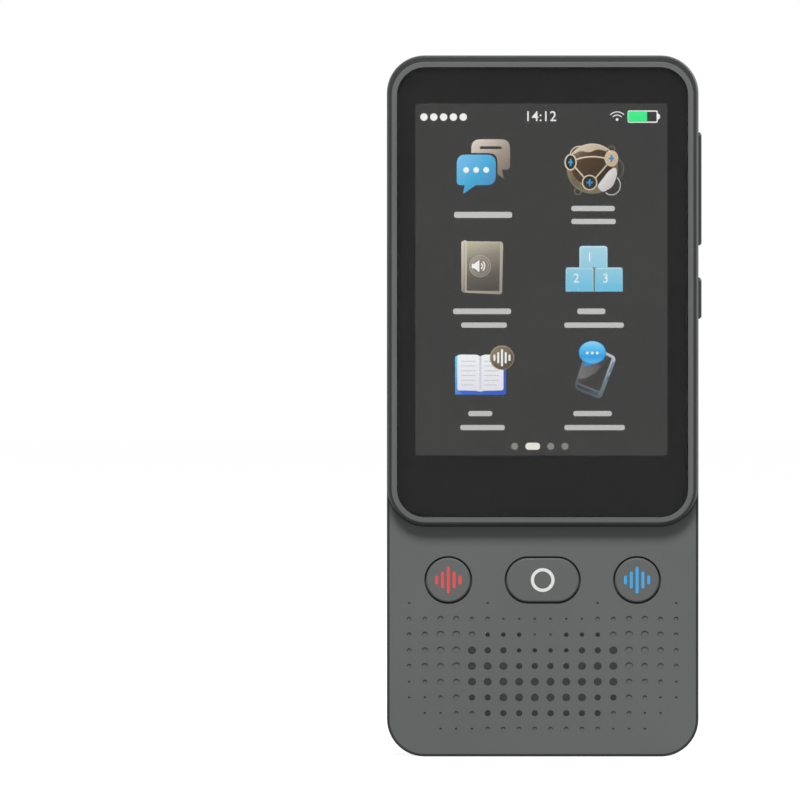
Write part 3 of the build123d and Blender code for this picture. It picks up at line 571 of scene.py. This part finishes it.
def digits(name, text, u, v, height, material, layer=1, weight=0.0):
    """Plain digits in the built-in face, with their lower left corner at u, v. weight thickens them."""
    curve = bpy.data.curves.new(name, "FONT")
    curve.body = text
    curve.size = height * POINT / DIGIT_SIZE
    curve.extrude = LAYER * 0.3      # half the thickness
    curve.space_character = 1.02
    curve.offset = weight * POINT
    curve.materials.append(material)
    piece = add_object(name, curve)
    x, z = on_screen(u, v)
    piece.location = (x, lcd_face - layer * LAYER - LAYER * 0.35, z)
    piece.rotation_euler = (math.radians(90), 0, 0)
    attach(piece, "device")


white = lit("screen_white", [(244, 244, 242), (238, 238, 236)], (0, 0), (0, 353))
cream = lit("screen_cream", [(232, 228, 216), (226, 222, 210)], (100, 340), (160, 350))
dim = lit("screen_dim", [(137, 134, 129), (133, 130, 125)], (95, 340), (155, 350))
ground = lit("screen_ground", [GROUND, GROUND], (0, 0), (0, 353))
label = lit("screen_label", [(196, 196, 194), (188, 188, 186)], (0, 90), (0, 340))
green = lit("screen_green", [(70, 241, 141), (64, 236, 136)], (212, 8), (212, 20))

# status bar
drawing("signal_dots", [(oval(9.2 + 9.82 * i, 14.4, 3.7, steps=24), 1, white) for i in range(5)])
digits("clock", "14:12", 109.6, 18.4, 10.0, white, weight=0.05)
wifi = [(stroke(oval(202.3, 18.4, r, r, 222, 318, 40), 0.85), 1, white) for r in (9.2, 6.0)]
wifi.append((oval(202.3, 16.8, 1.4, steps=16), 1, white))
drawing("wifi_sign", wifi)
cell = [
    (panel(212.8, 7.8, 242.9, 20.1, 1.9), 1, white),
    (panel(213.9, 9.0, 241.8, 18.9, 1.1), 2, ground),
    (panel(213.3, 8.5, 232.2, 19.4, [1.3, 0, 0, 1.3]), 3, green),
    (rounded([(242.7, 10.5), (245.1, 12.3), (245.1, 15.5), (242.7, 17.3)], 0.9), 1, white),
]
drawing("battery_sign", cell)

# page marks
marks = [(oval(u, 343.5, 3.5, steps=24), 1, dim) for u in (99.8, 135.9, 150.2)]
marks.append((panel(110.7, 340.0, 125.2, 347.0, 3.5, 8), 1, cream))
drawing("page_marks", marks)

# labels, as plain bars
bars = [
    (39.3, 107.0, 97.3, 116.8),
    (156.5, 101.0, 200.0, 110.0), (156.5, 114.0, 201.0, 123.0),
    (38.3, 203.6, 96.3, 213.0), (46.3, 217.6, 92.0, 226.6),
    (162.5, 203.6, 190.5, 213.0), (149.5, 217.6, 209.0, 226.6),
    (53.5, 306.0, 77.5, 315.0), (45.5, 320.0, 90.0, 329.0),
    (158.5, 306.0, 197.0, 315.0), (149.5, 320.0, 210.0, 329.0),
]
drawing("label_bars", [(panel(u0, v0 + 2.2, u1, v1 - 1.6, 2.4), 1, label) for u0, v0, u1, v1 in bars])

# icon of two speech bubbles
taupe = lit("bubble_taupe", [(222, 212, 200), (160, 146, 134), (104, 94, 88)], (60, 36), (95, 80))
blue = lit("bubble_blue", [(124, 196, 240), (70, 170, 212), (92, 118, 178)], (44, 52), (82, 94))


def bubble(u0, v0, u1, v1, tail, grow=0.0):
    """A speech bubble, with its tail at the lower left or right corner."""
    u0, v0, u1, v1 = u0 - grow, v0 - grow, u1 + grow, v1 + grow
    if tail == "left":
        point = [(u0 + 19, v1), (u0 + 6 - grow, v1 + 9 + grow), (u0 + 8, v1)]
    else:
        point = [(u1 - 8, v1), (u1 - 6 + grow, v1 + 9 + grow), (u1 - 19, v1)]
    return rounded([(u0, v0), (u1, v0), (u1, v1)] + point + [(u0, v1)], [9, 9, 9, 0.8, 1.2, 0.8, 9])


drawing("icon_bubbles", [
    (bubble(56.5, 36.6, 95.2, 67.0, "right"), 1, taupe),
    (panel(65.0, 43.6, 87.0, 46.4, 1.4), 2, ground),
    (bubble(42.0, 52.0, 81.0, 82.5, "left", 1.7), 3, ground),
    (bubble(42.0, 52.0, 81.0, 82.5, "left"), 4, blue),
] + [(oval(u, 67.3, 2.9, steps=20), 5, white) for u in (51.4, 61.4, 71.4)])

# icon of a globe with three linked places
globe_dark = lit("globe_dark", [(168, 152, 128), (88, 70, 52), (62, 50, 40), (92, 84, 66)],
                 (150, 40), (200, 94))
globe_low = lit("globe_low", [(150, 138, 112), (112, 102, 80), (128, 122, 98)], (160, 42), (192, 92))
land = lit("globe_land", [(214, 200, 178), (160, 142, 116)], (165, 40), (190, 70))
pale = lit("globe_pale", [(222, 218, 218), (168, 162, 160)], (188, 74), (206, 90))
wire = lit("globe_wire", [(226, 212, 190), (176, 168, 142)], (150, 44), (206, 92))
olive = lit("globe_olive", [(136, 132, 104), (108, 104, 82)], (150, 60), (200, 94))
navy = lit("globe_badge", [(52, 44, 40), (70, 56, 46)], (150, 50), (205, 90))
sand = lit("globe_sand", [(214, 186, 152), (196, 170, 138)], (190, 48), (204, 64))
azure = lit("globe_azure", [(66, 166, 214), (40, 122, 180)], (150, 50), (205, 90))
globe = [
    (oval(177.6, 66.2, 25.6, 25.0), 1, olive),
    (oval(177.6, 65.8, 24.7, 24.1), 2, globe_low),
    (oval(176.6, 63.0, 20.6, 19.6), 3, globe_dark),
    (rounded([(158, 52), (164, 44.5), (177, 41.3), (190, 43.6), (193, 49), (183, 46.4), (174, 50), (166, 48)],
             3), 4, land),
    (rounded([(194, 68), (201, 64), (202.6, 72), (198, 84), (188, 90), (182, 84), (188, 76)], 3.5), 4, pale),
    (arc(177.6, 66.0, 25.2, 24.6, 1.1, 200, 330), 5, wire),
    (stroke(oval(177.6, 74.0, 32.0, 20.0, 228, 312, 40), 1.5), 6, wire),
    (stroke([(158.5, 62.5), (172.5, 78.5)], 1.4), 6, wire),
    (stroke([(194.5, 59.5), (177.5, 79.0)], 1.4), 6, wire),
    (stroke(oval(165.0, 52.6, 9.6, 9.0, 175, 290, 40), 1.0), 5, wire),
    (arc(203.2, 66.0, 5.6, 8.6, 0.9, -80, 90), 5, olive),
    (arc(196.6, 82.6, 9.0, 9.6, 1.1, -50, 130), 5, pale),
    (ring(163.0, 88.6, 3.4, 3.2, 0.9), 5, olive),
    (arc(196.8, 46.4, 3.2, 3.0, 0.9, 180, 400), 5, olive),
]
places = (                   # u, v, half width, half height, colour
    (155.8, 59.6, 5.6, 7.8, navy),
    (196.6, 55.8, 6.4, 7.6, sand),
    (174.8, 79.9, 7.3, 7.3, navy),
)
for u, v, a, b, inside in places:
    globe.append((oval(u, v, a + 0.5, b + 0.5), 7, wire))
    globe.append((oval(u, v, a - 0.8, b - 0.8), 8, inside))
    globe.append((stroke([(u - a * 0.42, v), (u + a * 0.42, v)], 1.9), 9, azure))
    globe.append((stroke([(u, v - b * 0.46), (u, v + b * 0.46)], 1.9), 9, azure))
drawing("icon_globe", globe)

# icon of a closed book with a loudspeaker badge
cover = lit("book_cover", [(192, 186, 162), (140, 133, 122), (104, 99, 92), (82, 78, 74)],
            (60, 138), (72, 188))
edge = lit("book_edge", [(204, 198, 178), (150, 141, 126)], (47, 138), (90, 192))
leaves = lit("book_leaves", [(214, 206, 194), (150, 142, 134)], (46, 140), (51, 188))
badge = lit("badge_taupe", [(150, 143, 132), (116, 109, 102)], (56, 153), (76, 174))
rim = lit("badge_rim", [(186, 178, 164), (150, 142, 130)], (56, 153), (76, 174))
speaker_sign = rounded([(57.0, 161.2), (59.6, 161.2), (64.6, 157.0), (64.6, 169.6), (59.6, 165.6),
                        (57.0, 165.6)], 0.7)
drawing("icon_book", [
    (rounded([(46.6, 139.0), (50.4, 137.4), (52.4, 138.4), (52.4, 190.0), (49.0, 190.0), (46.6, 188.0)],
             1.2), 1, leaves),
    (stroke([(49.4, 139.4), (49.4, 188.8)], 0.7), 2, badge),
    (rounded([(50.6, 138.6), (86.6, 138.9), (88.4, 141.2), (87.3, 190.6), (85.0, 191.6), (50.2, 190.0)],
             1.6), 3, edge),
    (rounded([(52.4, 139.6), (85.4, 139.8), (84.6, 188.4), (51.8, 188.0)], 1.2), 4, cover),
    (oval(65.4, 163.5, 10.9), 5, rim),
    (oval(65.4, 163.5, 10.1), 6, badge),
    (ring(65.4, 163.5, 8.2, 8.2, 0.7), 7, rim),
    (speaker_sign, 8, white),
    (stroke(oval(64.0, 163.4, 3.6, 3.6, -48, 48, 40), 1.2), 8, white),
    (stroke(oval(64.0, 163.4, 6.0, 6.0, -48, 48, 40), 1.2), 8, white),
])

# icon of three blocks
block_face = lit("block_face", [(168, 212, 226), (146, 202, 222), (112, 190, 222)], (165, 142), (165, 189))
block_edge = lit("block_edge", [(186, 222, 236), (160, 210, 230)], (165, 142), (165, 189))
block_low = lit("block_low", [(122, 194, 224), (112, 190, 224)], (150, 180), (208, 189))
seam = lit("block_seam", [(128, 140, 118), (120, 136, 124)], (150, 164), (208, 168))
drawing("icon_blocks", [
    (panel(164.6, 143.2, 192.6, 165.6, [3.2, 3.2, 0, 0]), 1, block_edge),
    (panel(165.8, 145.2, 191.4, 165.6, [2.4, 2.4, 0, 0]), 2, block_face),
    (panel(150.9, 164.6, 207.8, 166.4, 0.6), 3, seam),
    (panel(150.9, 164.8, 178.6, 188.9, [3.4, 2.4, 0, 0]), 4, block_edge),
    (panel(180.4, 164.8, 207.8, 188.9, [2.4, 3.4, 0, 0]), 4, block_edge),
    (panel(178.8, 166.0, 180.2, 188.9), 4, seam),
    (panel(151.4, 166.4, 178.0, 188.9, [2.6, 2.0, 0, 0]), 5, block_face),
    (panel(180.9, 166.4, 207.4, 188.9, [2.0, 2.6, 0, 0]), 5, block_face),
    (panel(151.4, 181.6, 178.0, 188.9), 6, block_low),
    (panel(180.9, 181.6, 207.4, 188.9), 6, block_low),
])
digits("block_digit_top", "1", 171.6, 158.6, 9.0, white, 4)
digits("block_digit_left", "2", 158.2, 179.8, 9.0, white, 8)
digits("block_digit_right", "3", 187.4, 179.8, 9.0, white, 8)

# icon of an open book with a sound badge
page = lit("page_white", [(242, 242, 244), (224, 224, 230)], (44, 250), (44, 292))
fold = lit("page_fold", [(206, 208, 218), (216, 218, 226)], (60, 252), (60, 292))
print_gray = lit("page_lines", [(204, 206, 212), (198, 200, 208)], (44, 258), (88, 284))
cyan = lit("cover_cyan", [(92, 214, 240), (96, 176, 240), (72, 116, 206)], (40, 252), (50, 296))
royal = lit("cover_royal", [(66, 110, 208), (58, 94, 190)], (42, 290), (92, 296))
sound = lit("sound_badge", [(140, 128, 106), (110, 98, 80), (84, 74, 62)], (80, 246), (96, 266))
sound_rim = lit("sound_rim", [(172, 160, 136), (120, 108, 90)], (78, 244), (98, 268))
open_book = [
    (rounded([(40.4, 253.4), (60, 252.6), (66, 254), (90, 254), (91.2, 256), (91.2, 292.0), (67, 292.0),
              (66, 292.6), (65, 292.0), (40.4, 291.8)], 1.0), 1, royal),
    (rounded([(40.4, 253.4), (44, 253.0), (44, 288.0), (48, 291.8), (40.4, 291.8)], 0.8), 2, cyan),
    (rounded([(42.6, 252.6), (46.0, 251.8), (62.0, 252.0), (65.6, 253.6), (65.6, 289.2), (62.0, 288.0),
              (43.6, 287.6), (42.6, 286.4)], 1.2), 3, page),
    (rounded([(65.6, 253.6), (69.2, 252.0), (86.0, 251.8), (88.7, 252.8), (88.7, 286.4), (87.6, 287.6),
              (69.2, 288.0), (65.6, 289.2)], 1.2), 3, page),
    (panel(64.4, 254.2, 66.8, 287.6, 0.8), 4, fold),
]
for row in range(6):
    v = 258.0 + 4.75 * row
    short = 2.0 if row == 5 else 0
    open_book.append((panel(46.2, v, 61.0 - short, v + 1.0, 0.4), 4, print_gray))
    open_book.append((panel(69.4, v, 84.0 - short, v + 1.0, 0.4), 4, print_gray))
badge_u, badge_v = 87.2, 255.0
open_book += [(oval(badge_u, badge_v, 12.2), 5, sound_rim), (oval(badge_u, badge_v, 11.3), 6, sound)]
for i, half in enumerate((3.2, 5.6, 8.6, 5.6, 3.2)):
    u = badge_u + (i - 2) * 3.75
    open_book.append((panel(u - 1.0, badge_v - half, u + 1.0, badge_v + half, 1.0), 7, white))
drawing("icon_open_book", open_book)

# icon of a tilted handset with a message bubble
shell = lit("handset_shell", [(196, 200, 202), (120, 128, 132), (70, 78, 84)], (200, 250), (165, 296))
glassy = lit("handset_glass", [(92, 90, 88), (66, 65, 65), (74, 72, 71)], (165, 262), (192, 290))
sheen = lit("handset_sheen", [(124, 122, 120), (92, 90, 88)], (160, 268), (186, 262))
chin = lit("handset_chin", [(58, 66, 72), (84, 96, 104)], (160, 284), (186, 296))
keys_blue = lit("handset_keys", [(52, 120, 176), (44, 100, 150)], (192, 260), (198, 284))
glossy = lit("message_blue", [(150, 214, 246), (92, 190, 238), (58, 160, 222), (104, 190, 238)],
             (177, 238), (177, 262))
message_rim = lit("message_rim", [(60, 160, 220), (36, 128, 198)], (165, 238), (190, 262))
drawing("icon_handset", [
    (rounded([(190.6, 249.0), (199.4, 253.4), (200.9, 256.6), (187.0, 294.0), (184.0, 295.6), (162.0, 287.2),
              (159.8, 282.0), (170.0, 252.0)], 1.8), 1, shell),
    (rounded([(189.6, 251.6), (197.2, 255.4), (184.8, 288.4), (162.4, 279.6), (170.6, 253.2)],
             1.0), 2, glassy),
    (rounded([(168.4, 258.0), (186.6, 262.6), (181.0, 270.0), (172.0, 275.0), (163.8, 276.2)],
             1.2), 3, sheen),
    (rounded([(161.6, 281.4), (184.2, 290.2), (183.2, 293.4), (163.0, 285.6)], 1.0), 3, chin),
    (oval(172.6, 287.4, 1.9, 1.5, steps=18), 4, glassy),
    (stroke([(198.4, 259.0), (194.8, 269.6)], 1.3), 2, keys_blue),
    (stroke([(193.6, 273.4), (192.0, 277.8)], 1.3), 2, keys_blue),
    (rounded([(169.4, 256.0), (178.0, 261.4), (168.6, 264.0), (170.4, 259.6)], 0.8), 5, message_rim),
    (oval(177.6, 249.8, 13.6, 11.6), 6, message_rim),
    (oval(177.6, 249.6, 12.9, 10.9), 7, glossy),
] + [(oval(u, 250.2, 1.35, steps=16), 8, white) for u in (172.4, 177.4, 182.4)])


# ---- Black border of the cover glass ----
def printed_border():
    """A frame of ink just inside the rear of the glass, with a square hole for the lit area."""
    low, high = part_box("cover_glass")
    border = moulded("border_ink", (42, 42, 42), 0.5, spread=0.05, grain=2400, bump=0.02, specular=0.0)
    corner = 5.4 * MM
    inset = 0.02 * MM
    rear = high.y - 0.004 * MM
    ink = 0.01 * MM
    left, right, bottom, top = low.x + inset, high.x - inset, low.z + inset, high.z - inset
    corners = (                  # centre of the arc, its first angle, corner of the hole
        (right - corner, top - corner, 0, (lit_right, lit_top)),
        (left + corner, top - corner, 90, (lit_left, lit_top)),
        (left + corner, bottom + corner, 180, (lit_left, lit_low)),
        (right - corner, bottom + corner, 270, (lit_right, lit_low)),
    )
    steps = 12
    outer, inner = [], []
    for centre_x, centre_z, start, hole in corners:
        for k in range(steps + 1):
            angle = math.radians(start + 90 / steps * k)
            outer.append((centre_x + corner * math.cos(angle), centre_z + corner * math.sin(angle)))
            inner.append(hole)
    builder = bmesh.new()
    band(builder, outer, inner, lambda x, z: (x, z), rear - ink, rear, 0)
    bmesh.ops.remove_doubles(builder, verts=builder.verts, dist=1e-7)
    bmesh.ops.recalc_face_normals(builder, faces=builder.faces)
    piece = finished(builder, "border_print", [border])
    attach(piece, "device")


printed_border()


# ---- Signs on the front keys, in millimetres ----
BAR_HEIGHTS = (1.68, 3.25, 5.12, 3.25, 1.68)     # of the sound wave's five bars
BAR_PITCH = 1.12
BAR_HALF = 0.28
HOME_RADIUS = 1.975          # to the middle of the ring's line
HOME_LINE = 0.62


def printed(name, rgb):
    return moulded(name, rgb, 0.35, spread=0.03, grain=3000, bump=0.03, specular=0.35)


red_ink = printed("red_ink", (246, 84, 86))
blue_ink = printed("blue_ink", (74, 180, 248))
white_ink = printed("white_ink", (246, 246, 244))


def key_place(node):
    """The layout on a key, and the key's front."""
    low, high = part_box(node)
    return about(low, high), low.y


for node, ink, slot in (("red_key", red_ink, "red_mark"), ("blue_key", blue_ink, "blue_mark")):
    place, front = key_place(node)
    wave = []
    for i, height in enumerate(BAR_HEIGHTS):
        x = (i - 2) * BAR_PITCH
        bar = panel(x - BAR_HALF, -height / 2, x + BAR_HALF, height / 2, BAR_HALF, 6)
        wave.append((bar, 0, ink))
    drawing(node + "_sign", wave, node, place, front, PRINT)
place, front = key_place("home_key")
drawing("home_key_sign", [(ring(0, 0, HOME_RADIUS, HOME_RADIUS, HOME_LINE, 72), 0, white_ink)],
        "home_key", place, front, PRINT)


# ---- Rear camera: printed mask inside the window, ring and lens in the barrel ----
LENS_RADIUS = 1.5 * MM
LENS_RISE = 0.42 * MM
LENS_DEPTH = 0.49 * MM       # of the lens's rim below the barrel's rear end
LENS_RINGS = 6
LENS_SIDES = 40
# Printed mask and metal ring, in millimetres: to the middle of the band, and its width
MASK_RADIUS, MASK_LINE = 2.95, 1.3
RING_RADIUS, RING_LINE = 1.95, 0.34


def lens_painted_coating_reflection(centre, barrel):
    """A dark lens whose own colour is near black; the purple and green of its coating's reflections are
    painted into the base colour in rings round its middle.
    """
    material, tree, shader = new_material("lens_painted_coating_reflection")
    texture = tree.nodes.new("ShaderNodeTexCoord")
    away = tree.nodes.new("ShaderNodeVectorMath")
    away.operation = "DISTANCE"
    away.inputs[1].default_value = (centre[0], barrel, centre[1])
    tree.links.new(texture.outputs["Object"], away.inputs[0])
    depth = ranged(tree, away.outputs["Value"], 0.0, 1.0, 0.0, LENS_RADIUS)
    # painted reflection: the coating's tints, set by distance from the middle, stand in for what it reflects
    tint = ramp(tree, depth, [(0.0, (0.004, 0.004, 0.016, 1)), (0.5, (0.024, 0.010, 0.050, 1)),
                              (0.9, (0.008, 0.028, 0.032, 1))])
    tree.links.new(tint, shader.inputs["Base Color"])
    tree.links.new(ranged(tree, noise(tree, 400, 2.0), 0.03, 0.07), shader.inputs["Roughness"])
    return material


def rear_camera():
    low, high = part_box("camera_window")
    place = about(low, high)
    centre = place(0, 0)
    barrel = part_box("camera_module")[1].y
    mask = moulded("camera_mask", (14, 14, 15), 0.4, spread=0.1, bump=0.02, specular=0.1)
    metal = moulded("lens_ring", (92, 93, 96), 0.3, spread=0.08, grain=1800, bump=0.1, metallic=0.8)
    mask_band = ring(0, 0, MASK_RADIUS, MASK_RADIUS, MASK_LINE, 72)
    drawing("camera_mask", [(mask_band, 0, mask)], "device", place, low.y + 0.014 * MM,
            0.01 * MM)
    ring_band = ring(0, 0, RING_RADIUS, RING_RADIUS, RING_LINE, 72)
    drawing("lens_ring", [(ring_band, 0, metal)], "device", place, barrel + 0.06 * MM, 0.05 * MM)
    painted_coating_reflection = lens_painted_coating_reflection(centre, barrel)
    angles = [2 * math.pi * i / LENS_SIDES for i in range(LENS_SIDES)]
    builder = bmesh.new()
    rings = []
    for k in range(LENS_RINGS):
        slope = k / LENS_RINGS * math.pi / 2
        spread = LENS_RADIUS * math.cos(slope)
        y = barrel - LENS_DEPTH + LENS_RISE * math.sin(slope)
        spots = [(centre[0] + spread * math.cos(a), y, centre[1] + spread * math.sin(a)) for a in angles]
        rings.append([builder.verts.new(spot) for spot in spots])
    tip = builder.verts.new((centre[0], barrel - LENS_DEPTH + LENS_RISE, centre[1]))
    builder.faces.new(rings[0])
    for a, b in zip(rings, rings[1:]):
        for i in range(LENS_SIDES):
            j = (i + 1) % LENS_SIDES
            builder.faces.new((a[i], a[j], b[j], b[i]))
    for i in range(LENS_SIDES):
        builder.faces.new((rings[-1][i], rings[-1][(i + 1) % LENS_SIDES], tip))
    bmesh.ops.recalc_face_normals(builder, faces=builder.faces)
    for face in builder.faces:
        face.smooth = len(face.verts) < 5       # all but the flat rear
    piece = finished(builder, "camera_lens", [painted_coating_reflection])
    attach(piece, "device")


rear_camera()


# ---- Gold contacts of the card, in millimetres ----
FIELD_COLUMNS = (-2.05, 2.05)
FIELD_ROWS = (-2.4, 0, 2.4)
FIELD_HALF = (1.9, 1.05)
FIELD_CORNER = 0.35
FIELDS_ASIDE = 1.2           # from the card's middle


def card_contacts():
    low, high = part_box("sim_card")
    place = about(low, high, FIELDS_ASIDE * MM)
    gold = moulded("contact_gold", (212, 172, 96), 0.3, spread=0.06, grain=1800, bump=0.05, metallic=0.9)
    half_width, half_height = FIELD_HALF
    fields = []
    for x in FIELD_COLUMNS:
        for z in FIELD_ROWS:
            field = panel(x - half_width, z - half_height, x + half_width, z + half_height, FIELD_CORNER)
            fields.append((field, 0, gold))
    drawing("card_contacts", fields, "sim_tray", place, high.y + 0.02 * MM, 0.03 * MM)


card_contacts()
